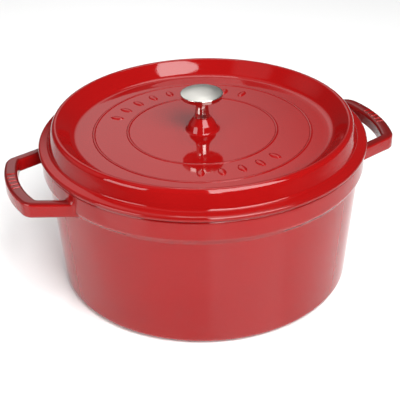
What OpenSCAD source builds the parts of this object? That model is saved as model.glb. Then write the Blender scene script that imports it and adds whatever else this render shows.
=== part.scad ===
// Round enamelled cast iron dutch oven with a lift-off lid and a turned metal knob.
// Millimetres, +Z up. The origin is the middle of the base, and the two loop handles lie along X.
// Iron is cast, then coated: every enamel coat is a thin shell that shares its faces with the iron.

/* [Pot] */
// Outside radius of the thickened rim band
rim_r = 145.4; // [144.8:0.1:145.9]
// Height of the rim's flat seat above the surface the pot stands on
rim_z = 131.3; // [129:0.1:131.3]
// Inside radius of the mouth
mouth_r = 136.8; // [136.2:0.1:137.4]
// Height at which the rim band swells out of the plain wall
band_z = 107.9; // [104:0.1:112]
// Outside radius of the wall just below the rim band
band_wall_r = 141.1; // [140.6:0.1:141.6]
// Height of the slope between the plain wall and the rim band
band_slope = 5.8; // [4:0.1:8]
// Outside radius that the wall would have at the base, without its rounding
base_r = 133.1; // [130:0.1:134]
// Radius of the rounding between the wall and the base, outside
base_round = 6.5; // [4:0.1:9]
// Radius of the rounding between the wall and the floor, inside
floor_round = 10; // [6:0.5:14]
// Thickness of the iron in the wall, the floor and the lid
iron_t = 3.2; // [3:0.1:3.6]
// Thickness of each enamel coat
enamel_t = 0.4; // [0.3:0.05:0.5]

/* [Foot ring] */
// Outside radius of the bare ground ring that the pot stands on
foot_outer_r = 122; // [118:0.5:124]
// Width of the foot ring
foot_w = 6; // [4:0.5:8]
// How far the foot ring stands below the enamel around it
foot_h = 0.5; // [0.4:0.1:0.8]
// Depth of the hollow inside the foot ring
foot_hollow = 1.2; // [1:0.1:1.4]

/* [Handles] */
// Distance from the pot's axis to the front of a handle
handle_reach = 180; // [177:0.5:184]
// Radius of the gently curved front of a handle, outside
grip_round = 120; // [110:1:130]
// Half of the angle that the curved front covers
grip_half_angle = 17.5; // [16:0.1:18.5]
// Radius of a handle's outside corner
handle_corner = 14; // [12:0.5:16]
// Slant of a handle's arm against the X axis
arm_slant = 20.6; // [18:0.2:23]
// Width of the arms
arm_w = 8.5; // [8:0.1:9]
// Radius of a handle's inside corner
inner_corner = 5; // [4.5:0.5:5]
// Width of the front, where the fingers go
grip_w = 11.8; // [11.4:0.1:13]
// Height of a handle's top face
handle_top = 122; // [120:0.1:123]
// Thickness of a handle, top to bottom
handle_t = 15.5; // [14:0.1:16]
// How much higher a handle's underside is on the inside than on the outside
underside_rise = 3; // [2:0.1:4]
// Radius of the rounding along a handle's edges
handle_edge = 2.6; // [2:0.1:3.4]
// Number of raised ribs across the top of a handle
grip_ribs = 5; // [3:1:7]

/* [Lid] */
// Outside radius of the lid's flange
flange_r = 147.3; // [146.8:0.1:148]
// Height of the flange's top corner above the rim's seat
flange_h = 4.3; // [4.1:0.1:4.8]
// Gap between the lid's seat and the rim
seat_gap = 0.2; // [0.1:0.05:0.3]
// Height of the flat panel above the rim's seat
panel_h = 8.7; // [8.2:0.1:9.2]
// Outside radius of the locating skirt under the lid
skirt_r = 135; // [134.5:0.1:135.4]
// How far the skirt reaches below the rim's seat
skirt_drop = 3.8; // [2:0.1:5]
// Radii of the two raised ring beads
bead_radii = [97.5, 66.9]; // [60:0.1:110]
// Width of a ring bead
bead_w = 3; // [2.4:0.1:4]
// Height of a ring bead
bead_h = 0.6; // [0.5:0.05:1]
// Radius of the boss at its foot
boss_r = 14.4; // [14:0.1:16]
// Radius of the boss's top face
boss_top_r = 7.6; // [7.2:0.1:8.4]
// Height of the boss above the panel
boss_h = 12.6; // [11.5:0.1:13.5]
// Length of a raised leaf mark
leaf_l = 14; // [10:0.5:16]
// Width of a raised leaf mark
leaf_w = 7; // [5:0.2:7.6]
// Height of a raised leaf mark
leaf_h = 1.1; // [0.6:0.1:1.3]

/* [Basting spikes] */
// Number of spikes in the innermost ring
spikes_first = 12; // [8:1:14]
// Number of rings of spikes
spike_rings = 4; // [2:1:4]
// Height of a spike
spike_h = 4; // [3:0.1:5]

/* [Knob and screw] */
// Radius of the knob's mushroom cap
cap_r = 19; // [18:0.1:20]
// Height of the knob above its boss
knob_h = 25.4; // [25:0.1:26.4]
// Radius of the stem where it stands on the boss
stem_r = 7; // [6.6:0.1:7.4]
// Radius of the stem's waist
waist_r = 5.3; // [5:0.1:5.7]
// Radius of the screw's shank, M6
screw_r = 3; // [3:0.5:3]
// Length of the screw's shank
screw_l = 30; // [29:0.1:30.5]
// Radius of the screw's pan head
head_r = 5.5; // [5:0.1:6]
// Height of the screw's head
head_h = 3.6; // [3:0.1:4]

/* [Hidden] */
$fn = 96;
ARC_STEP = 12;          // degrees between two points of a rounded corner
FAR = 400;              // longer than the whole object
HOLE_CLEARANCE = 0.3;   // around the screw's shank in the lid
THREAD_CLEARANCE = 0.05;

wall_t = iron_t + 2 * enamel_t;
hollow_z = foot_hollow;
base_z = foot_h;
floor_z = hollow_z + wall_t + 0.6;
coat_split_r = rim_r - 2.6;       // where the red and the black coats meet on the rim's seat
inner_base_r = base_r - wall_t + 0.5;

lid_z = rim_z + seat_gap;         // underside of the flange
panel_z = rim_z + panel_h;
under_z = panel_z - wall_t;       // underside of the panel
boss_z = panel_z + boss_h;
screw_hole_r = screw_r + HOLE_CLEARANCE;
shoulder = [flange_r - 8.9, rim_z + flange_h + 1.6];    // foot of the steep outer side
crest = [flange_r - 14.4, panel_z + 16.8];   // where the crest's two sides would meet
inner_foot = [flange_r - 30.8, panel_z];     // foot of the crest's inner slope
crest_out = shoulder + 0.73 * (crest - shoulder);       // the crest's flattened top, outer corner
crest_in = crest + 0.119 * (inner_foot - crest);        // and inner corner
channel = crest - [2.4, 8.75];    // the same meeting point on the underside

washer_t = 1.2;
lock_t = 1.6;
washer_z = under_z - washer_t;
lock_z = washer_z - lock_t;

// ---- Outlines ----

function unit(v) = v / norm(v);
function left(v) = [-v.y, v.x];
function polar(centre, r, a) = centre + r * [cos(a), sin(a)];
function but_last(path) = [for (i = [0 : len(path) - 2]) path[i]];
function reversed(path) = [for (i = [len(path) - 1 : -1 : 0]) path[i]];

// Points of the arc of radius r that rounds corner b on the way from a to c.
function corner_arc(a, b, c, r, step) =
    let (back = unit(a - b), on = unit(c - b), half = acos(back * on) / 2,
         centre = b + unit(back + on) * r / sin(half),
         first = b + back * r / tan(half) - centre,
         last = b + on * r / tan(half) - centre,
         turn = (180 - 2 * half) * sign(cross(first, last)),
         steps = max(2, ceil(abs(turn) / step)))
    [for (i = [0 : steps]) polar(centre, r, atan2(first.y, first.x) + turn * i / steps)];

// Path through corners given as [x, y, rounding]; its two ends stay sharp.
function rounded(corners, step = ARC_STEP) =
    let (n = len(corners), p = [for (k = corners) [k[0], k[1]]])
    [for (i = [0 : n - 1])
        each (i == 0 || i == n - 1 || corners[i][2] == 0)
            ? [p[i]] : corner_arc(p[i - 1], p[i], p[i + 1], corners[i][2], step)];

// The path moved by t to the left of its direction, with mitred corners.
function shifted(path, t) =
    let (n = len(path), d = [for (i = [0 : n - 2]) unit(path[i + 1] - path[i])])
    [for (i = [0 : n - 1])
        let (before = left(d[max(i - 1, 0)]), after = left(d[min(i, n - 2)]))
        path[i] + t * (before + after) / (1 + before * after)];

// Outline of a coat whose visible face follows the path; the iron is on the path's left.
function coat(path) = concat(path, reversed(shifted(path, enamel_t)));

// ---- Pot profile: radius and height, anticlockwise round the wall ----

wall_top = [rim_r, band_z + band_slope];
pot_outside = rounded([
    [foot_outer_r, base_z, 0],
    [base_r, base_z, base_round],
    [band_wall_r, band_z, 3],
    [wall_top.x, wall_top.y, 5],
    [rim_r, rim_z, 2.4],
    [coat_split_r, rim_z, 0]]);
pot_inside = rounded([
    [coat_split_r, rim_z, 0],
    [mouth_r, rim_z, 1.5],
    [mouth_r, band_z, 30],
    [inner_base_r, floor_z, floor_round],
    [0, floor_z, 0]]);
pot_underside = [[0, hollow_z], [foot_outer_r - foot_w, hollow_z]];

// ---- Lid profile ----

// Arc over a ring bead at radius r, from its outer foot to its inner foot.
function bead(r) =
    let (ball = (bead_w * bead_w / 4 + bead_h * bead_h) / (2 * bead_h),
         a = atan2(ball - bead_h, bead_w / 2), steps = 10)
    [for (i = [0 : steps]) polar([r, panel_z + bead_h - ball], ball, a + (180 - 2 * a) * i / steps)];

lid_outside = concat(
    but_last(rounded([
        [rim_r - 0.4, lid_z, 0],
        [flange_r, lid_z, 1.6],
        [flange_r, rim_z + flange_h, 2.2],
        [shoulder.x, shoulder.y, 2.5],
        [crest_out.x, crest_out.y, 6],
        [crest_in.x, crest_in.y, 3],
        [inner_foot.x, inner_foot.y, 9],
        [bead_radii[0] + bead_w / 2, panel_z, 0]])),
    bead(bead_radii[0]),
    bead(bead_radii[1]),
    rounded([
        [boss_r + 6, panel_z, 0],
        [boss_r, panel_z, 2.5],
        [boss_r - 2.4, panel_z + boss_h * 0.52, 5],
        [boss_top_r, boss_z, 0.8],
        [screw_hole_r, boss_z, 0]]));
lid_underside = rounded([
    [screw_hole_r, under_z, 0],
    [channel.x - (channel.y - under_z) * 0.972, under_z, 12],
    [channel.x, channel.y, 1.5],
    [skirt_r - 2.6, under_z + 3, 6],
    [skirt_r - 3.9, rim_z - skirt_drop, 1.2],
    [skirt_r - 0.4, rim_z - skirt_drop, 1.2],
    [skirt_r, lid_z, 0.8],
    [rim_r - 0.4, lid_z, 0]]);

// ---- Handles ----

grip_centre = handle_reach - grip_round;
corner_centre = polar([grip_centre, 0], grip_round - handle_corner, grip_half_angle);
arm_angle = 90 - arm_slant;      // direction of the arm's outward normal
arm_l = 60;
// The inside corner is tangent to the grip's inside and to the arm's inside.
arm_out = polar([0, 0], 1, arm_angle);
arm_line = corner_centre * arm_out + handle_corner - arm_w - inner_corner;
inner_arc_r = grip_round - grip_w - inner_corner;
inner_angle = arm_angle - acos((arm_line - grip_centre * arm_out.x) / inner_arc_r);
inner_centre = polar([grip_centre, 0], inner_arc_r, inner_angle);
corner_w = 11;                   // width of the corner's swept part

// Rounded outline, w wide inwards from x = 0 and as tall as a handle, thinner all round by skin.
module handle_section(w, skin) {
    e = handle_edge - skin;
    middle = [-w / 2, skin + underside_rise / 2, 0];
    outline = rounded([
        middle, [-skin, skin, e], [-skin, handle_t - skin, e],
        [skin - w, handle_t - skin, e], [skin - w, skin + underside_rise, e], middle], 30);
    polygon(but_last(outline));
}

// Swept stretch of a handle: an arc about the centre, with its outside at radius r.
module handle_arc(centre, r, w, first, last, skin) {
    translate([centre.x, centre.y, handle_top - handle_t])
        rotate([0, 0, first])
            rotate_extrude(angle = last - first)
                translate([r, 0]) handle_section(w, skin);
}

// One arm, from the corner's end straight into the wall.
module handle_arm(skin) {
    start = polar(corner_centre, handle_corner, arm_angle);
    translate([start.x, start.y, handle_top - handle_t])
        rotate([0, 0, arm_angle])
            rotate([90, 0, 0])
                translate([0, 0, -arm_l])
                    linear_extrude(arm_l) handle_section(arm_w, skin);
}

// Fills the corner's inside, between the grip's inside and the arm's inside.
module corner_fill(skin) {
    r = inner_corner + skin + 0.15;
    inside = grip_round - grip_w + skin + 0.15;
    low = handle_top - handle_t + underside_rise + 0.8 + skin;
    translate([0, 0, low])
        linear_extrude(handle_t - underside_rise - 1.6 - 2 * skin)
            polygon(concat(
                [for (a = [grip_half_angle - 1.5, (grip_half_angle + inner_angle) / 2])
                    polar([grip_centre, 0], inside, a)],
                [for (k = [0 : 5]) polar(inner_centre, r, inner_angle + (arm_angle - inner_angle) * k / 5)],
                [for (a = [arm_angle + 8, grip_half_angle - 14]) polar(corner_centre, handle_corner - 4, a)]));
}

module handle_half(skin) {
    handle_arc(corner_centre, handle_corner, corner_w, grip_half_angle, arm_angle, skin);
    corner_fill(skin);
    handle_arm(skin);
}

// Both loop handles, cut off at radius root_r inside the pot's wall.
module handles(skin, root_r) {
    difference() {
        for (side = [0, 180])
            rotate([0, 0, side]) {
                handle_arc([grip_centre, 0], grip_round, grip_w, -grip_half_angle, grip_half_angle, skin);
                handle_half(skin);
                mirror([0, 1, 0]) handle_half(skin);
            }
        cylinder(r = root_r, h = FAR);
    }
}

// Raised ribs across the top of each grip.
module grip_rib_set() {
    rib = [7.8, 1.8, 1.6];
    for (side = [0, 180], i = [0 : grip_ribs - 1])
        rotate([0, 0, side])
            translate([grip_centre, 0, handle_top])
                rotate([0, 0, (i - (grip_ribs - 1) / 2) * 3.2])
                    translate([grip_round - grip_w / 2, 0, 0])
                        cube(rib, center = true);
}

// ---- Pot ----

module pot_casting() {
    color("dimgray") union() {
        rotate_extrude(angle = 360, $fn = 360)
            polygon(concat(
                but_last(shifted(pot_outside, enamel_t)),
                shifted(pot_inside, enamel_t),
                shifted(pot_underside, enamel_t),
                [[foot_outer_r - foot_w, 0], [foot_outer_r, 0]]));
        handles(enamel_t, mouth_r + 3);
    }
}

module pot_outer_enamel() {
    color("firebrick") {
        difference() {
            union() {
                rotate_extrude($fn = 360) polygon(coat(pot_outside));
                difference() {
                    handles(0, band_wall_r - 1);
                    rotate_extrude($fn = 360)
                        polygon(concat([[0, base_z + 2]], shifted(pot_outside, enamel_t / 2), [[0, rim_z - 1]]));
                }
                grip_rib_set();
            }
            handles(enamel_t, mouth_r + 3);
        }
        rotate_extrude($fn = 360) polygon(coat(pot_underside));
    }
}

module pot_inner_enamel() {
    color("#1c1c1c") rotate_extrude($fn = 360) polygon(coat(pot_inside));
}

// ---- Lid ----

// Raised leaf with sloping sides: the overlap of two cones, pointing along X.
module leaf() {
    r = (leaf_l * leaf_l / 4 + leaf_w * leaf_w / 4) / leaf_w;
    h = leaf_h + enamel_t / 2;
    intersection() {
        translate([0, r - leaf_w / 2, 0]) cylinder(r1 = r, r2 = r - leaf_w / 4, h = h);
        translate([0, leaf_w / 2 - r, 0]) cylinder(r1 = r, r2 = r - leaf_w / 4, h = h);
    }
}

// A row of count leaves along the lid, centred on direction a.
module leaf_row(count, a, gap) {
    for (i = [0 : count - 1])
        rotate([0, 0, a + (i - (count - 1) / 2) * gap])
            translate([(bead_radii[0] + bead_radii[1]) / 2, 0, panel_z - enamel_t / 2])
                leaf();
}

module lid_casting() {
    color("dimgray") rotate_extrude($fn = 360)
        polygon(concat(but_last(shifted(lid_underside, enamel_t)), shifted(lid_outside, enamel_t)));
}

module lid_outer_enamel() {
    color("crimson") union() {
        rotate_extrude($fn = 360) polygon(coat(lid_outside));
        leaf_row(9, 93, 12.5);
        leaf_row(5, -85.5, 12.5);
    }
}

module lid_inner_enamel() {
    color("#1c1c1c") rotate_extrude($fn = 360) polygon(coat(lid_underside));
}

// Cones cast in rings under the lid, which drip condensate evenly over the food.
module basting_spikes() {
    color("#262626")
        for (ring = [0 : spike_rings - 1])
            let (count = spikes_first + 6 * ring, r = 35 + 20 * ring)
                for (i = [0 : count - 1])
                    rotate([0, 0, 360 * (i + ring / 2) / count])
                        translate([r, 0, under_z - spike_h])
                            cylinder(r1 = 1, r2 = 2.4, h = spike_h, $fn = 24);
}

// ---- Knob and its fastening ----

module knob() {
    top_z = boss_z + knob_h;
    foot_z = boss_z + 0.1;
    thread_top = washer_z - lock_t + screw_l + 0.6;
    bore_r = screw_r + THREAD_CLEARANCE;
    color("silver") rotate_extrude($fn = 180)
        polygon(rounded([
            [0, thread_top + 1.6, 0],
            [bore_r, thread_top, 0],
            [bore_r, foot_z, 0],
            [stem_r, foot_z, 0.5],
            [stem_r - 0.9, foot_z + 4.2, 8],
            [waist_r, foot_z + 12.6, 8],
            [waist_r + 3.4, top_z - 8.4, 4],
            [cap_r - 0.6, top_z - 6.6, 0.6],
            [cap_r, top_z - 2.6, 0.6],
            [cap_r / 2, top_z - 0.3, 50],
            [0, top_z, 0]]));
}

module knob_screw() {
    color("gainsboro") difference() {
        union() {
            translate([0, 0, lock_z]) cylinder(r = screw_r, h = screw_l);
            translate([0, 0, lock_z - head_h]) cylinder(r = head_r, h = head_h);
        }
        translate([0, 0, lock_z - head_h]) cube([FAR, 1.4, 3.2], center = true);
    }
}

module flat_washer() {
    color("darkgray") translate([0, 0, washer_z])
        difference() {
            cylinder(r = 8, h = washer_t);
            translate([0, 0, -1]) cylinder(r = screw_hole_r, h = washer_t + 2);
        }
}

module lock_washer() {
    color("gray") translate([0, 0, lock_z])
        rotate_extrude(angle = 345)
            translate([screw_r + 0.1, 0]) square([2.5, lock_t]);
}

pot_casting();
pot_outer_enamel();
pot_inner_enamel();
lid_casting();
lid_outer_enamel();
lid_inner_enamel();
basting_spikes();
knob();
knob_screw();
flat_washer();
lock_washer();
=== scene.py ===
"""Looks, light and camera for a round enamelled cast iron dutch oven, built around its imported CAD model.

Everything is in the CAD model's frame: +Z up, origin in the middle of the base, handles along X.
Profiles are written in millimetres, as radius and height, and become metres when a mesh is made.
"""

import math

import bpy
import numpy as np
from mathutils import Matrix, Vector


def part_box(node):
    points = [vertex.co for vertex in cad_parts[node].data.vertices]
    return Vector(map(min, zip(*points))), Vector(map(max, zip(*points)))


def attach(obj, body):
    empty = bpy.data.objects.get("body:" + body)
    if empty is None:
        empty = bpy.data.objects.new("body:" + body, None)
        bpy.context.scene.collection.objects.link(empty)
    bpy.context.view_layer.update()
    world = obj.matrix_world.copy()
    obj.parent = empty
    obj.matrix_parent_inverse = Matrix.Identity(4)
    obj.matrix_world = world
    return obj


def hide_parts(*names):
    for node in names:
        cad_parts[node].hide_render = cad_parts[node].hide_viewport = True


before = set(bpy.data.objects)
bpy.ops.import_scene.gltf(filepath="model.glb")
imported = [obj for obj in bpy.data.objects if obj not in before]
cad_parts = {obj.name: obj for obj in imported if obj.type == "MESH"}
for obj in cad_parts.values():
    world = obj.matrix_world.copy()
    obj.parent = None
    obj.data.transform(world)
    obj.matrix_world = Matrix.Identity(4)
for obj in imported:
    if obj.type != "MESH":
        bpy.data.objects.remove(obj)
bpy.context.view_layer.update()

MM = 0.001
LATHE_SEGMENTS = 360
ARC_STEP = 6.0


# ---- Sizes, in millimetres, read from the frame or set beside it ----


def box_mm(node):
    """Lowest and highest corner of a CAD node, in millimetres."""
    low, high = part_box(node)
    return low / MM, high / MM


lid_low, lid_high = box_mm("lid_outer_enamel")
pot_low, pot_high = box_mm("pot_outer_enamel")
spike_low, spike_high = box_mm("basting_spikes")
knob_low, knob_high = box_mm("knob")
screw_low, screw_high = box_mm("knob_screw")
flat_low, flat_high = box_mm("flat_washer")
lock_low, lock_high = box_mm("lock_washer")

ENAMEL_T = 0.4
flange_r = lid_high.x
lid_z = lid_low.z
rim_z = pot_high.z
base_z = pot_low.z
handle_reach = pot_high.x
rim_r = flange_r - 1.9
mouth_r = rim_r - 8.6
panel_z = rim_z + 8.7
under_z = spike_high.z
wall_t = panel_z - under_z
boss_z = panel_z + 12.6
band_z = 107.9
band_wall_r = 141.1
band_slope = 5.8
base_r = 133.1
foot_outer_r = 122.0
foot_inner_r = 116.0
CAP_SATIN_FROM, CAP_SATIN_TO = 22.3, 23.3    # above the boss, where the knob's polish turns to satin
foot_hollow = 1.2
floor_z = foot_hollow + wall_t + 0.6
coat_split_r = rim_r - 2.6
screw_hole_r = 3.3
skirt_r = 135.0
skirt_z = rim_z - 3.8
bead_radii = (97.5, 66.9)
bead_w = 3.0
bead_h = 0.6
ROOT_INSET = 3.0    # how far inside the wall a handle's root starts
LEAF_ROWS = ((9, 93), (5, -85.5))    # leaves in a row, and the row's middle in degrees from +X
LEAF_PITCH = 12.5
RIB_COUNT, RIB_PITCH = 5, 3.2
SPIKE_RINGS = 4
SPIKE_FIRST_COUNT, SPIKE_COUNT_STEP = 12, 6
SPIKE_FIRST_R, SPIKE_R_STEP = 35, 20


# ---- Outlines ----


def unit(v):
    return v / np.hypot(*v)


def left(v):
    return np.array([-v[1], v[0]])


def rounded(corners, step=ARC_STEP):
    """Path through corners given as (x, y, rounding); its two ends stay sharp."""
    p = [np.array(c[:2], float) for c in corners]
    path = []
    for i, (x, y, r) in enumerate(corners):
        if i in (0, len(corners) - 1) or r == 0:
            path.append(p[i])
            continue
        back, on = unit(p[i - 1] - p[i]), unit(p[i + 1] - p[i])
        half = math.acos(np.clip(back @ on, -1, 1)) / 2
        centre = p[i] + unit(back + on) * r / math.sin(half)
        first = p[i] + back * r / math.tan(half) - centre
        last = p[i] + on * r / math.tan(half) - centre
        turn = (math.pi - 2 * half) * np.sign(first[0] * last[1] - first[1] * last[0])
        start = math.atan2(first[1], first[0])
        count = max(3, math.ceil(abs(math.degrees(turn)) / step))
        for k in range(count + 1):
            a = start + turn * k / count
            path.append(centre + r * np.array([math.cos(a), math.sin(a)]))
    return np.array(path)


def shifted(path, t):
    """The path moved by t to the left of its direction, with mitred corners."""
    d = np.array([unit(b - a) for a, b in zip(path[:-1], path[1:])])
    before = np.vstack([d[:1], d])
    after = np.vstack([d, d[-1:]])
    n0 = np.stack([-before[:, 1], before[:, 0]], 1)
    n1 = np.stack([-after[:, 1], after[:, 0]], 1)
    return path + t * (n0 + n1) / (1 + (n0 * n1).sum(1))[:, None]


def coat(path, t=ENAMEL_T):
    """Closed outline of a coat whose visible face is the path, with the iron on its left."""
    return np.vstack([path, shifted(path, t)[::-1]])


def divided(path, longest):
    """The path with its long stretches cut into steps no longer than longest."""
    out = [path[0]]
    for a, b in zip(path[:-1], path[1:]):
        n = max(1, math.ceil(np.hypot(*(b - a)) / longest))
        out += [a + (b - a) * k / n for k in range(1, n + 1)]
    return np.array(out)


def bead(r):
    """Arc over a ring bead at radius r, from its outer foot to its inner foot."""
    ball = (bead_w * bead_w / 4 + bead_h * bead_h) / (2 * bead_h)
    a = math.atan2(ball - bead_h, bead_w / 2)
    turns = np.linspace(a, math.pi - a, 15)
    return np.stack([r + ball * np.cos(turns), panel_z + bead_h - ball + ball * np.sin(turns)], 1)


wall_top = (rim_r, band_z + band_slope)
pot_outside = rounded([
    (foot_outer_r, base_z, 0),
    (base_r, base_z, 6.5),
    (band_wall_r, band_z, 3),
    (*wall_top, 5),
    (rim_r, rim_z, 2.4),
    (coat_split_r, rim_z, 0)])
pot_inside = rounded([
    (coat_split_r, rim_z, 0),
    (mouth_r, rim_z, 1.5),
    (mouth_r, band_z, 30),
    (base_r - wall_t + 0.5, floor_z, 10),
    (0, floor_z, 0)])
pot_underside = np.array([(0, foot_hollow), (foot_inner_r, foot_hollow)], float)

shoulder = np.array([flange_r - 8.9, rim_z + 5.9])
crest = np.array([flange_r - 14.4, panel_z + 16.8])
crest_foot = np.array([flange_r - 30.8, panel_z])
channel = crest - [2.4, 8.75]
lid_outside = np.vstack([
    rounded([
        (rim_r - 0.4, lid_z, 0),
        (flange_r, lid_z, 1.6),
        (flange_r, rim_z + 4.3, 2.2),
        (*shoulder, 2.5),
        (*(shoulder + 0.73 * (crest - shoulder)), 6),
        (*(crest + 0.119 * (crest_foot - crest)), 3),
        (*crest_foot, 9),
        (bead_radii[0] + bead_w / 2, panel_z, 0)])[:-1],
    bead(bead_radii[0]),
    bead(bead_radii[1]),
    rounded([
        (23.2, panel_z, 0),
        (14.4, panel_z, 2.5),
        (12.0, panel_z + 6.55, 5),
        (7.6, boss_z, 0.8),
        (screw_hole_r, boss_z, 0)])])
lid_underside = rounded([
    (screw_hole_r, under_z, 0),
    (channel[0] - (channel[1] - under_z) * 0.972, under_z, 12),
    (*channel, 1.5),
    (skirt_r - 2.6, under_z + 3, 6),
    (skirt_r - 3.9, skirt_z, 1.2),
    (skirt_r - 0.4, skirt_z, 1.2),
    (skirt_r, lid_z, 0.8),
    (rim_r - 0.4, lid_z, 0)])


# ---- Mesh making ----


def make_mesh(name, points, faces, material, thinning_and_shade=None, sharp_deg=40):
    """A smooth-shaded object from points in millimetres, with an optional value per point that the red enamel
    reads as thinner enamel and painted shade.
    """
    mesh = bpy.data.meshes.new(name)
    mesh.from_pydata((np.asarray(points) * MM).tolist(), [], faces)
    mesh.validate()
    if thinning_and_shade is not None:
        mesh.attributes.new("thinning_and_shade", "FLOAT", "POINT").data.foreach_set("value", np.asarray(thinning_and_shade, np.float32))
    mesh.polygons.foreach_set("use_smooth", [True] * len(mesh.polygons))
    mesh.set_sharp_from_angle(angle=math.radians(sharp_deg))
    mesh.materials.append(material)
    obj = bpy.data.objects.new(name, mesh)
    bpy.context.scene.collection.objects.link(obj)
    return obj


def edge_values(chain, closed):
    """How sharply a profile bends outwards at each point: near 1 on a tight bend, below 0 in a hollow. The
    red enamel is browner where it is high: partly thinner enamel, partly painted shade.
    """
    prev = np.roll(chain, 1, 0)
    after = np.roll(chain, -1, 0)
    a, b = chain - prev, after - chain
    if not closed:
        a[0], b[-1] = b[0], a[-1]
    turn = np.arctan2(a[:, 0] * b[:, 1] - a[:, 1] * b[:, 0], (a * b).sum(1))
    span = (np.hypot(*a.T) + np.hypot(*b.T)) / 2
    return 0.65 * np.tanh(turn / np.maximum(span, 0.15) * 1.6)


def lathe(name, chain, material, closed=True, segments=LATHE_SEGMENTS, longest=8.0, sharp_deg=40):
    """Solid of revolution. A closed chain is a ring's outline; an open one runs from the axis to the axis."""
    if closed:
        chain = np.vstack([chain, chain[:1]])
    chain = divided(chain, longest)
    if closed:
        chain = chain[:-1]
    thinning_and_shade = edge_values(chain, closed)
    if not closed:
        inner, thinning_and_shade_rings = chain[1:-1], thinning_and_shade[1:-1]
    else:
        inner, thinning_and_shade_rings = chain, thinning_and_shade
    turns = np.arange(segments) * 2 * math.pi / segments
    rings = np.stack([
        inner[:, :1] * np.cos(turns), inner[:, :1] * np.sin(turns),
        np.repeat(inner[:, 1:], segments, 1)], 2)
    points = rings.reshape(-1, 3)
    values = np.repeat(thinning_and_shade_rings, segments)
    n = len(inner)
    rows = n if closed else n - 1
    j = np.arange(segments)
    k = (j + 1) % segments
    faces = []
    for i in range(rows):
        a, b = i * segments, (i + 1) % n * segments
        faces += np.stack([a + j, a + k, b + k, b + j], 1).tolist()
    if not closed:
        points = np.vstack([points, [[0, 0, chain[0, 1]], [0, 0, chain[-1, 1]]]])
        values = np.append(values, [0, 0])
        low, high, last = len(points) - 2, len(points) - 1, (n - 1) * segments
        faces += [[low, int(q), int(p)] for p, q in zip(j, k)]
        faces += [[high, last + int(p), last + int(q)] for p, q in zip(j, k)]
    return make_mesh(name, points, faces, material, values, sharp_deg)


def loft_faces(n_rings, n_points):
    """Quads between closed rings of points, with a flat face at each end."""
    j = np.arange(n_points)
    k = (j + 1) % n_points
    faces = []
    for i in range(n_rings - 1):
        a, b = i * n_points, (i + 1) * n_points
        faces += np.stack([a + j, b + j, b + k, a + k], 1).tolist()
    faces.append(j.tolist())
    faces.append(((n_rings - 1) * n_points + j)[::-1].tolist())
    return faces


def joined(parts):
    """Points and faces of several (points, faces) pairs as one."""
    points, faces, start = [], [], 0
    for p, f in parts:
        points.append(p)
        faces += [[i + start for i in face] for face in f]
        start += len(p)
    return np.vstack(points), faces


def turned(points, degrees):
    """Points turned about the pot's axis."""
    a = math.radians(degrees)
    c, s = math.cos(a), math.sin(a)
    return points @ np.array([[c, s, 0], [-s, c, 0], [0, 0, 1]])


# ---- Materials ----


class Nodes:
    """A material being built: a Principled shader and short calls that add nodes in front of it."""

    def __init__(self, name, **sockets):
        self.material = bpy.data.materials.new(name)
        self.material.use_nodes = True
        self.tree = self.material.node_tree
        self.shader = self.tree.nodes["Principled BSDF"]
        self.place = self.add("ShaderNodeTexCoord").outputs["Object"]
        for socket, value in sockets.items():
            self.shader.inputs[socket.replace("_", " ")].default_value = value

    def add(self, kind, **settings):
        node = self.tree.nodes.new(kind)
        for key, value in settings.items():
            setattr(node, key, value)
        return node

    def wire(self, source, target):
        self.tree.links.new(source, target)

    def noise(self, per_metre, detail):
        node = self.add("ShaderNodeTexNoise")
        node.inputs["Scale"].default_value = per_metre
        node.inputs["Detail"].default_value = detail
        self.wire(self.place, node.inputs["Vector"])
        return node.outputs["Fac"]

    def rings(self, per_metre, distortion):
        """Rings about the pot's axis, as a tool leaves them on turned metal."""
        node = self.add("ShaderNodeTexWave", wave_type="RINGS", rings_direction="Z")
        node.inputs["Scale"].default_value = per_metre
        node.inputs["Distortion"].default_value = distortion
        self.wire(self.place, node.inputs["Vector"])
        return node.outputs["Fac"]

    def remap(self, value, low, high, to_low, to_high):
        node = self.add("ShaderNodeMapRange")
        self.wire(value, node.inputs["Value"])
        for socket, number in zip(("From Min", "From Max", "To Min", "To Max"), (low, high, to_low, to_high)):
            node.inputs[socket].default_value = number
        return node.outputs["Result"]

    def attribute(self, name):
        return self.add("ShaderNodeAttribute", attribute_name=name).outputs["Fac"]

    def mix(self, factor, a, b):
        node = self.add("ShaderNodeMix", data_type="RGBA")
        self.wire(factor, node.inputs["Factor"])
        for socket, colour in ((node.inputs[6], a), (node.inputs[7], b)):
            if isinstance(colour, tuple):
                socket.default_value = (*colour, 1)
            else:
                self.wire(colour, socket)
        return node.outputs[2]

    def bump(self, height, distance, strength, before=None):
        node = self.add("ShaderNodeBump")
        node.inputs["Strength"].default_value = strength
        node.inputs["Distance"].default_value = distance
        self.wire(height, node.inputs["Height"])
        if before:
            self.wire(before, node.inputs["Normal"])
        return node.outputs["Normal"]

    def sum(self, a, b):
        node = self.add("ShaderNodeMath", operation="ADD")
        for socket, value in zip(node.inputs, (a, b)):
            self.wire(value, socket)
        return node.outputs["Value"]

    def finish(self, colour=None, roughness=None, normal=None):
        for source, socket in ((colour, "Base Color"), (roughness, "Roughness"), (normal, "Normal")):
            if source:
                self.wire(source, self.shader.inputs[socket])
        return self.material


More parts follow.
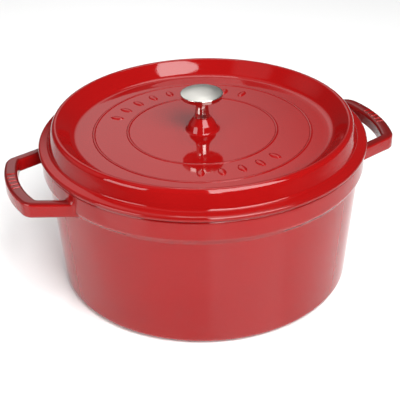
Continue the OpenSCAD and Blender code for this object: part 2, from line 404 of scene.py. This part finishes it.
def red_enamel():
    """Glossy vitreous enamel with a faint orange peel: browner over tight bends, partly thinner enamel and
    partly painted shade, and darkened by painted shade on the handle tops.
    """
    m = Nodes("red_enamel", IOR=1.38)
    drift = m.remap(m.noise(14, 2), 0.3, 0.7, 0, 1)
    body = m.mix(drift, (0.24, 0.0029, 0.0029), (0.256, 0.0033, 0.0033))
    # Browner over tight bends: partly thinner enamel, partly painted shade; on the handle tops it is only
    # painted shade.
    thin_coat_and_shade = m.remap(m.attribute("thinning_and_shade"), 0.2, 1.0, 0.0, 0.9)
    colour = m.mix(thin_coat_and_shade, body, (0.115, 0.006, 0.006))
    roughness = m.remap(m.noise(60, 3), 0.3, 0.7, 0.045, 0.07)
    peel = m.bump(m.noise(170, 2), 0.0004, 0.05)
    pits = m.bump(m.noise(1500, 2), 0.00003, 0.12, peel)
    return m.finish(colour, roughness, pits)


def black_enamel():
    """Matte black enamel with a fine sandy texture."""
    m = Nodes("black_enamel", IOR=1.5)
    colour = m.mix(m.noise(40, 3), (0.014, 0.014, 0.015), (0.024, 0.024, 0.025))
    roughness = m.remap(m.noise(300, 2), 0.3, 0.7, 0.42, 0.62)
    return m.finish(colour, roughness, m.bump(m.noise(1400, 3), 0.0001, 0.45))


def cast_iron():
    """Bare iron, ground flat in rings on the foot."""
    m = Nodes("cast_iron", Metallic=0.85)
    colour = m.mix(m.noise(90, 4), (0.10, 0.095, 0.09), (0.21, 0.20, 0.19))
    grind = m.bump(m.rings(900, 3), 0.00002, 0.5)
    roughness = m.remap(m.noise(500, 2), 0.3, 0.7, 0.38, 0.6)
    return m.finish(colour, roughness, m.bump(m.noise(900, 4), 0.00012, 0.35, grind))


def nickel():
    """Turned and satin polished nickel: duller on the cap, bright on the stem."""
    m = Nodes("nickel", Metallic=1.0)
    height = m.add("ShaderNodeSeparateXYZ")
    m.wire(m.place, height.inputs["Vector"])
    cap_from, cap_to = (boss_z + CAP_SATIN_FROM) * MM, (boss_z + CAP_SATIN_TO) * MM
    satin = m.remap(height.outputs["Z"], cap_from, cap_to, 0.06, 0.34)
    haze = m.remap(m.noise(400, 3), 0.3, 0.7, 0.0, 0.06)
    colour = m.mix(m.noise(120, 3), (0.66, 0.645, 0.60), (0.72, 0.705, 0.66))
    lathe_marks = m.bump(m.rings(2200, 1.5), 0.000004, 0.25)
    return m.finish(colour, m.sum(satin, haze), lathe_marks)


def stainless():
    """Plain bright-drawn steel with a light grain."""
    m = Nodes("stainless", Metallic=1.0)
    colour = m.mix(m.noise(300, 3), (0.50, 0.50, 0.49), (0.62, 0.62, 0.61))
    roughness = m.remap(m.noise(900, 3), 0.3, 0.7, 0.2, 0.36)
    return m.finish(colour, roughness, m.bump(m.noise(2500, 2), 0.00001, 0.4))


RED = red_enamel()
BLACK = black_enamel()
IRON = cast_iron()
NICKEL = nickel()
STEEL = stainless()


# ---- Handles ----

GRIP_ROUND = 120.0
GRIP_HALF = math.radians(17.5)
CORNER_R = 14.0
ARM_NORMAL = math.radians(90 - 20.6)
ARM_W, GRIP_W = 8.5, 11.8
HANDLE_TOP, HANDLE_T = 122.0, 15.5
UNDERSIDE_RISE = 3.0
HANDLE_EDGE = 3.0
ROOT_FILLET = 2.5
INNER_R = 5.0


def polar(centre, r, a):
    return centre + r * np.array([math.cos(a), math.sin(a)])


grip_centre = np.array([handle_reach - GRIP_ROUND, 0.0])
corner_centre = polar(grip_centre, GRIP_ROUND - CORNER_R, GRIP_HALF)
arm_out = polar(0, 1, ARM_NORMAL)
inner_arc_r = GRIP_ROUND - GRIP_W - INNER_R
arm_line = corner_centre @ arm_out + CORNER_R - ARM_W - INNER_R
inner_angle = ARM_NORMAL - math.acos((arm_line - grip_centre @ arm_out) / inner_arc_r)
inner_centre = polar(grip_centre, inner_arc_r, inner_angle)


def smooth_step(x):
    x = np.clip(x, 0, 1)
    return x * x * (3 - 2 * x)


def handle_stations():
    """Stations along a handle, from one root to the other: its outer and its inner outline point."""
    half = []
    for t in np.linspace(0, 1, 24):
        half.append((
            polar(grip_centre, GRIP_ROUND, GRIP_HALF * t),
            polar(grip_centre, GRIP_ROUND - GRIP_W, inner_angle * t)))
    for t in np.linspace(0, 1, 30)[1:]:
        half.append((
            polar(corner_centre, CORNER_R, GRIP_HALF + (ARM_NORMAL - GRIP_HALF) * t),
            polar(inner_centre, INNER_R, inner_angle + (ARM_NORMAL - inner_angle) * t)))
    start, inner = half[-1]
    along = left(arm_out)
    skew = (inner - start) @ along
    for s in np.arange(0.5, 44, 0.5):
        outer = start + along * s
        half.append((outer, outer - ARM_W * arm_out + along * skew * (1 - smooth_step(s / 16))))
    far_half = [(p * [1, -1], q * [1, -1]) for p, q in half[:0:-1]]
    return far_half + half


def wall_radius(z):
    """Outside radius of the pot's wall at height z."""
    slope = (z - band_z) / band_slope
    return band_wall_r + (rim_r - band_wall_r) * np.clip(slope, 0, 1)


def handle_points(skin):
    """Rings of points round a handle, flared where it runs into the wall; skin takes that much off.

    The second result is a painted shade value for each point: high on the top face, where the red enamel is
    darkened.
    """
    e = HANDLE_EDGE - skin
    rings, painted_top_shade = [], []
    for outer, inner in handle_stations():
        w = np.hypot(*(outer - inner))
        out = (outer - inner) / w
        middle = (-w / 2, skin + UNDERSIDE_RISE / 2, 0)
        outline = rounded([
            middle, (-skin, skin, e), (-skin, HANDLE_T - skin, e),
            (skin - w, HANDLE_T - skin, e), (skin - w, skin + UNDERSIDE_RISE, e), middle], 11.25)[:-1]
        after, before = np.roll(outline, -1, 0), np.roll(outline, 1, 0)
        along = after - before
        normal = np.stack([along[:, 1], -along[:, 0]], 1) / np.hypot(*along.T)[:, None]
        plan = outer + outline[:, :1] * out
        z = outline[:, 1] + HANDLE_TOP - HANDLE_T
        gap = np.hypot(*plan.T) - wall_radius(z)
        reach = 1 - np.clip(gap / ROOT_FILLET, 0, 1)
        flare = ROOT_FILLET * (1 - np.sqrt(1 - reach * reach))
        plan = plan + (normal[:, 0] * flare)[:, None] * out
        z = z + normal[:, 1] * flare
        r = np.hypot(*plan.T)
        plan = plan * (np.where(reach > 0, wall_radius(z) + gap, r) / r)[:, None]
        rings.append(np.column_stack([plan, z]))
        # Painted shade: darker on the top face, fading out towards the root.
        painted_top_shade.append(smooth_step((normal[:, 1] - 0.25) / 0.6) * (1 - reach))
    return np.array(rings), np.array(painted_top_shade)


def handle_pair(skin):
    """Points, faces and painted top shade values of both handles."""
    rings, painted_top_shade = handle_points(skin)
    keep = [i for i, r in enumerate(rings) if np.hypot(*r[:, :2].T).max() > mouth_r + ROOT_INSET]
    rings, painted_top_shade = rings[keep], painted_top_shade[keep]
    rings[:, :, :2] = clear_of_mouth(rings[:, :, :2])
    flat = rings.reshape(-1, 3)
    faces = loft_faces(len(rings), rings.shape[1])
    return *joined([(flat, faces), (turned(flat, 180), faces)]), np.tile(painted_top_shade.ravel(), 2)


def clear_of_mouth(plan):
    """Root points pushed out to stay inside the wall's thickness."""
    r = np.linalg.norm(plan, axis=-1, keepdims=True)
    return plan * np.maximum(r, mouth_r + ROOT_INSET) / r


# ---- Raised marks ----


def pillow(half_length, half_width, height, soften, rows=36, columns=16):
    """A domed mark along X: half_width(u) for u from -1 to 1, foot level at z = 0."""
    rings = []
    for u in np.sin(np.linspace(-math.pi / 2, math.pi / 2, rows)):
        w = max(half_width(u), 0.02)
        v = np.linspace(-1, 1, columns)
        end = (1 - abs(u)) * half_length
        rise = height * (1 - v * v) ** 0.7 * smooth_step(end / soften + 0.02) - 0.01
        top = np.stack([np.full(columns, u * half_length), v * w, rise], 1)
        under = top[::-1] * [1, 1, 0] + [0, 0, -0.3]
        rings.append(np.vstack([top, under]))
    rings = np.array(rings)
    return rings.reshape(-1, 3), loft_faces(rows, 2 * columns)


def leaf_marks():
    """Two rows of raised leaves between the ring beads."""
    length, width, height = 14.0, 7.0, 1.1
    big_r = (length ** 2 + width ** 2) / (4 * width)

    def half_width(u):
        return math.sqrt(big_r ** 2 - (u * length / 2) ** 2) - big_r + width / 2

    points, faces = pillow(length / 2, half_width, height, 3.5)
    middle = np.array([sum(bead_radii) / 2, 0, panel_z])
    parts = []
    for count, centre in LEAF_ROWS:
        for i in range(count):
            parts.append((turned(points + middle, centre + (i - (count - 1) / 2) * LEAF_PITCH), faces))
    return joined(parts)


def grip_ribs():
    """Five soft ribs across the top of each grip."""
    points, faces = pillow(3.9, lambda u: 0.95 * math.sqrt(max(1 - u ** 6, 0)), 0.8, 0.8, 24, 12)
    parts = []
    for side in (0, 180):
        for i in range(RIB_COUNT):
            bar = turned(points + [GRIP_ROUND - GRIP_W / 2, 0, HANDLE_TOP], (i - RIB_COUNT // 2) * RIB_PITCH)
            parts.append((turned(bar + [*grip_centre, 0], side), faces))
    return joined(parts)


# ---- Pieces ----


def stand_for(obj, body, slot, *nodes):
    """The piece rides on a body and replaces CAD nodes; slot is not used."""
    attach(obj, body)
    if nodes:
        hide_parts(*nodes)
    return obj


def pot_pieces():
    casting = np.vstack([
        shifted(pot_outside, ENAMEL_T)[:-1],
        shifted(pot_inside, ENAMEL_T)])
    underside = shifted(pot_underside, ENAMEL_T)
    foot = np.array([(foot_inner_r, 0), (foot_outer_r, 0)], float)
    chain = np.vstack([underside, foot, casting])
    body = lathe("pot_iron", chain, IRON, closed=False)
    stand_for(body, "pot", "cast_iron", "pot_casting")
    points, faces, _ = handle_pair(ENAMEL_T)
    core = make_mesh("handle_iron", points, faces, IRON)
    stand_for(core, "pot", "cast_iron", "pot_casting")
    wall = lathe("pot_red_coat", coat(pot_outside), RED, longest=6)
    stand_for(wall, "pot", "red_enamel", "pot_outer_enamel")
    base = lathe("base_red_coat", coat(pot_underside), RED, closed=False)
    stand_for(base, "pot", "red_enamel", "pot_outer_enamel")
    # The handles' red coat carries the painted shade on their tops.
    points, faces, thinning_and_shade = handle_pair(0)
    handles = make_mesh("handle_red_coat", points, faces, RED, thinning_and_shade)
    stand_for(handles, "pot", "red_enamel", "pot_outer_enamel")
    ribs = make_mesh("grip_ribs", *grip_ribs(), RED)
    stand_for(ribs, "pot", "red_enamel", "pot_outer_enamel")
    inside = coat(pot_inside)
    axis_at = len(pot_inside)
    chain = np.vstack([inside[axis_at:], inside[:axis_at]])
    stand_for(lathe("pot_black_coat", chain, BLACK, closed=False), "pot", "black_enamel", "pot_inner_enamel")


def spike_points():
    """One basting spike with a rounded tip, and its faces, standing down from z = 0."""
    height = spike_high.z - spike_low.z
    chain = rounded([(2.6, 0.1, 0), (2.3, -0.4, 1), (1.1, -height + 0.2, 0.8), (0.05, -height, 0)], 25)
    turns = np.arange(20) * 2 * math.pi / 20
    rings = np.array([np.stack([r * np.cos(turns), r * np.sin(turns), np.full(20, z)], 1) for r, z in chain])
    return rings.reshape(-1, 3), loft_faces(len(rings), 20)


def lid_pieces():
    iron = np.vstack([shifted(lid_underside, ENAMEL_T)[:-1], shifted(lid_outside, ENAMEL_T)])
    stand_for(lathe("lid_iron", iron, IRON), "lid", "cast_iron", "lid_casting")
    red = lathe("lid_red_coat", coat(lid_outside), RED, segments=320, longest=6)
    stand_for(red, "lid", "red_enamel", "lid_outer_enamel")
    leaves = make_mesh("lid_leaf_marks", *leaf_marks(), RED)
    stand_for(leaves, "lid", "red_enamel", "lid_outer_enamel")
    stand_for(lathe("lid_black_coat", coat(lid_underside), BLACK), "lid", "black_enamel", "lid_inner_enamel")
    points, faces = spike_points()
    parts = []
    for ring in range(SPIKE_RINGS):
        count = SPIKE_FIRST_COUNT + SPIKE_COUNT_STEP * ring
        r = SPIKE_FIRST_R + SPIKE_R_STEP * ring
        for i in range(count):
            parts.append((turned(points + [r, 0, under_z], 360 * (i + ring / 2) / count), faces))
    stand_for(make_mesh("lid_spikes", *joined(parts), BLACK), "lid", "black_enamel", "basting_spikes")


def knob_piece():
    """Mushroom knob, turned from bar, with the blind threaded hole in its stem."""
    foot, top = knob_low.z, knob_high.z
    thread_top = screw_high.z + 0.6
    chain = rounded([
        (0, thread_top + 1.6, 0),
        (3.05, thread_top, 0),
        (3.05, foot + 0.4, 0),
        (3.5, foot, 0),
        (7, foot, 0.5),
        (6.1, foot + 4.2, 8),
        (5.3, foot + 12.6, 8),
        (8.7, top - 8.4, 4),
        (18.4, top - 6.6, 0.6),
        (19, top - 2.6, 0.6),
        (9.5, top - 0.3, 50),
        (0, top, 0)], 3)
    knob = lathe("knob_body", chain, NICKEL, closed=False, segments=180, longest=1.5, sharp_deg=60)
    stand_for(knob, "knob", "nickel", "knob")


def cut(obj, cutter):
    """Takes the cutter away from the object and removes the cutter."""
    modifier = obj.modifiers.new("cut", "BOOLEAN")
    modifier.object, modifier.operation, modifier.solver = cutter, "DIFFERENCE", "EXACT"
    bpy.context.view_layer.update()
    whole = obj.evaluated_get(bpy.context.evaluated_depsgraph_get())
    mesh = bpy.data.meshes.new_from_object(whole)
    obj.modifiers.clear()
    obj.data = mesh
    bpy.data.objects.remove(cutter)


def screw_pieces():
    """Slotted pan head screw with a rolled M6 thread, and its two washers."""
    pitch, major, minor = 1.0, 2.97, 2.4
    low, seat, high = screw_low.z, lock_low.z, screw_high.z
    columns, per_turn = 48, 12
    z = np.arange(seat - 0.3, high, pitch / per_turn)
    turns = np.arange(columns) * 2 * math.pi / columns
    phase = (z[:, None] / pitch - turns / (2 * math.pi)) % 1
    ridge = 1 - np.abs(2 * phase - 1)
    thread = minor + (major - minor) * np.clip(ridge * 1.35, 0, 1)
    run_in = smooth_step((z - seat - 1) / 2)[:, None]
    tip = smooth_step((high - z) / 0.9)[:, None]
    r = (2.7 + (thread - 2.7) * run_in) * (0.72 + 0.28 * tip)
    rings = np.stack([r * np.cos(turns), r * np.sin(turns), np.repeat(z[:, None], columns, 1)], 2)
    rings[-1, :, 2] = high
    faces = loft_faces(len(z), columns)
    shank = make_mesh("screw_shank", rings.reshape(-1, 3), faces, STEEL, sharp_deg=50)
    stand_for(shank, "screw", "stainless", "knob_screw")
    head_r = 5.5
    head_chain = rounded([
        (0, low, 0), (3.9, low, 1.8), (head_r, low + 1.7, 1.2), (head_r, seat, 0.2), (0, seat, 0)], 8)
    head = lathe("screw_head", head_chain, STEEL, closed=False, segments=96)
    bpy.ops.mesh.primitive_cube_add(size=1, location=(0, 0, (low + 0.5) * MM))
    slot_cutter = bpy.context.active_object
    slot_cutter.scale = (14 * MM, 1.4 * MM, 2.2 * MM)
    cut(head, slot_cutter)
    stand_for(head, "screw", "stainless", "knob_screw")
    flat = rounded([
        (5, flat_low.z, 0), (flat_high.x, flat_low.z, 0.3), (flat_high.x, flat_high.z, 0.2),
        (screw_hole_r, flat_high.z, 0.15), (screw_hole_r, flat_low.z, 0.15), (5, flat_low.z, 0)])[:-1]
    stand_for(lathe("washer_flat", flat, STEEL, segments=120), "lid", "stainless", "flat_washer")
    inner, outer = 3.1, 5.6
    section = rounded([
        (4, lock_low.z, 0), (outer, lock_low.z, 0.2), (outer, lock_high.z, 0.2),
        (inner, lock_high.z, 0.2), (inner, lock_low.z, 0.2), (4, lock_low.z, 0)], 30)[:-1]
    ring = []
    for a in np.radians(np.linspace(0, 345, 116)):
        r = section[:, 0]
        ring.append(np.column_stack([r * math.cos(a), r * math.sin(a), section[:, 1]]))
    ring = np.array(ring)
    faces = [f[::-1] for f in loft_faces(len(ring), len(section))]
    split = make_mesh("washer_lock", ring.reshape(-1, 3), faces, STEEL)
    stand_for(split, "lid", "stainless", "lock_washer")


pot_pieces()
lid_pieces()
knob_piece()
screw_pieces()


# ---- Studio ----

CAMERA_AZIMUTH = -19.0
CAMERA_ELEVATION = 29.86
CAMERA_DISTANCE = 0.9315
CAMERA_LEVEL = 0.080
CAMERA_PITCH = 30.63
CAMERA_YAW = -0.26
CAMERA_ROLL = -1.36
CAMERA_LENS = 90.0
AMBIENT = 0.07


def direction(azimuth, elevation):
    """Unit vector from the pot towards a place in the studio; azimuth counts to the camera's right."""
    a, e = math.radians(CAMERA_AZIMUTH + azimuth), math.radians(elevation)
    return Vector((math.sin(a) * math.cos(e), -math.cos(a) * math.cos(e), math.sin(e)))


def add_camera():
    """The camera, pitched down on the pot and rolled a little, as a hand-levelled camera is."""
    data = bpy.data.cameras.new("camera")
    data.lens, data.sensor_width = CAMERA_LENS, 36.0
    data.clip_start, data.clip_end = 0.05, 20
    camera = bpy.data.objects.new("camera", data)
    bpy.context.scene.collection.objects.link(camera)
    yaw, pitch = math.radians(CAMERA_YAW), math.radians(CAMERA_PITCH)
    ahead = Vector((math.sin(yaw) * math.cos(pitch), math.cos(yaw) * math.cos(pitch), -math.sin(pitch)))
    ahead = Matrix.Rotation(math.radians(CAMERA_AZIMUTH), 3, "Z") @ ahead
    right = ahead.cross(Vector((0, 0, 1))).normalized()
    roll = Matrix.Rotation(-math.radians(CAMERA_ROLL), 3, ahead)
    right = roll @ right
    up = right.cross(ahead)
    turn = Matrix((right, up, -ahead)).transposed()
    camera.matrix_world = Matrix.Translation(
        direction(0, CAMERA_ELEVATION) * CAMERA_DISTANCE + Vector((0, 0, CAMERA_LEVEL))) @ turn.to_4x4()
    bpy.context.scene.camera = camera


def add_softbox(name, azimuth, distance, low, high, width, radiance, lean=0.0):
    """A rectangular softbox facing the pot's axis, from height low to high, tilted down by lean degrees."""
    data = bpy.data.lights.new(name, "AREA")
    data.shape, data.size, data.size_y = "RECTANGLE", width, high - low
    data.energy = radiance * math.pi * width * (high - low)
    lamp = bpy.data.objects.new(name, data)
    bpy.context.scene.collection.objects.link(lamp)
    lamp.location = direction(azimuth, 0) * distance + Vector((0, 0, (low + high) / 2))
    lamp.rotation_mode = "QUATERNION"
    lamp.rotation_quaternion = direction(azimuth, lean).to_track_quat("Z", "Y")


def add_floor():
    """Wide white acrylic table top with a soft sheen."""
    m = Nodes("table_white", IOR=1.5)
    tone = m.mix(m.noise(3, 1), (0.97, 0.97, 0.97), (0.98, 0.98, 0.975))
    roughness = m.remap(m.noise(8, 1), 0.3, 0.7, 0.2, 0.23)
    half = 4.0
    mesh = bpy.data.meshes.new("table")
    corners = [(-half, -half, 0), (half, -half, 0), (half, half, 0), (-half, half, 0)]
    mesh.from_pydata(corners, [], [(0, 1, 2, 3)])
    mesh.materials.append(m.finish(tone, roughness))
    table = bpy.data.objects.new("table", mesh)
    bpy.context.scene.collection.objects.link(table)


def add_world():
    """White backdrop behind the pot and a dim studio in front, and plain white to the camera."""
    world = bpy.data.worlds.new("studio")
    bpy.context.scene.world = world
    world.use_nodes = True
    tree = world.node_tree
    nodes, wire = tree.nodes, tree.links.new
    place = nodes.new("ShaderNodeTexCoord").outputs["Generated"]

    def lobe(towards, from_deg, to_deg, strength):
        """Brightness that rises smoothly from from_deg to to_deg away from a direction."""
        dot = nodes.new("ShaderNodeVectorMath")
        dot.operation = "DOT_PRODUCT"
        wire(place, dot.inputs[0])
        dot.inputs[1].default_value = towards
        ramp = nodes.new("ShaderNodeMapRange")
        ramp.interpolation_type = "SMOOTHSTEP"
        wire(dot.outputs["Value"], ramp.inputs["Value"])
        limits = (math.cos(math.radians(from_deg)), math.cos(math.radians(to_deg)), 0.0, strength)
        for socket, number in zip(("From Min", "From Max", "To Min", "To Max"), limits):
            ramp.inputs[socket].default_value = number
        return ramp.outputs["Result"]

    def total(values):
        result = values[0]
        for value in values[1:]:
            add = nodes.new("ShaderNodeMath")
            add.operation = "ADD"
            for socket, source in zip(add.inputs, (result, value)):
                if isinstance(source, float):
                    socket.default_value = source
                else:
                    wire(source, socket)
            result = add.outputs["Value"]
        return result

    backdrop = lobe(direction(190, 36), 22, 4, 1.25)
    ceiling = lobe(direction(180, 76), 28, 16, 0.6)
    left_card = lobe(direction(-62, 57), 14, 8, 0.5)
    left_wall = lobe(direction(-100, 24), 26, 12, 0.4)
    light = total([backdrop, ceiling, left_card, left_wall, AMBIENT])
    seen = nodes.new("ShaderNodeLightPath").outputs["Is Camera Ray"]
    pick = nodes.new("ShaderNodeMath")
    pick.operation = "MAXIMUM"
    wire(light, pick.inputs[0])
    wire(seen, pick.inputs[1])
    background = nodes["Background"]
    background.inputs["Color"].default_value = (1, 1, 1, 1)
    wire(pick.outputs["Value"], background.inputs["Strength"])


add_camera()
add_softbox("key_softbox", 31.5, 0.90, 0.54, 2.66, 0.95, 11.2)
add_softbox("fill_softbox", -55, 1.60, 0.26, 0.96, 0.90, 7)
add_softbox("strip_light", 8, 0.90, 0.34, 0.54, 0.13, 10)
add_softbox("back_softbox", 165, 1.00, 2.10, 2.90, 1.20, 3.6, 72)
add_floor()
add_world()
bpy.context.scene.view_settings.view_transform = "Standard"
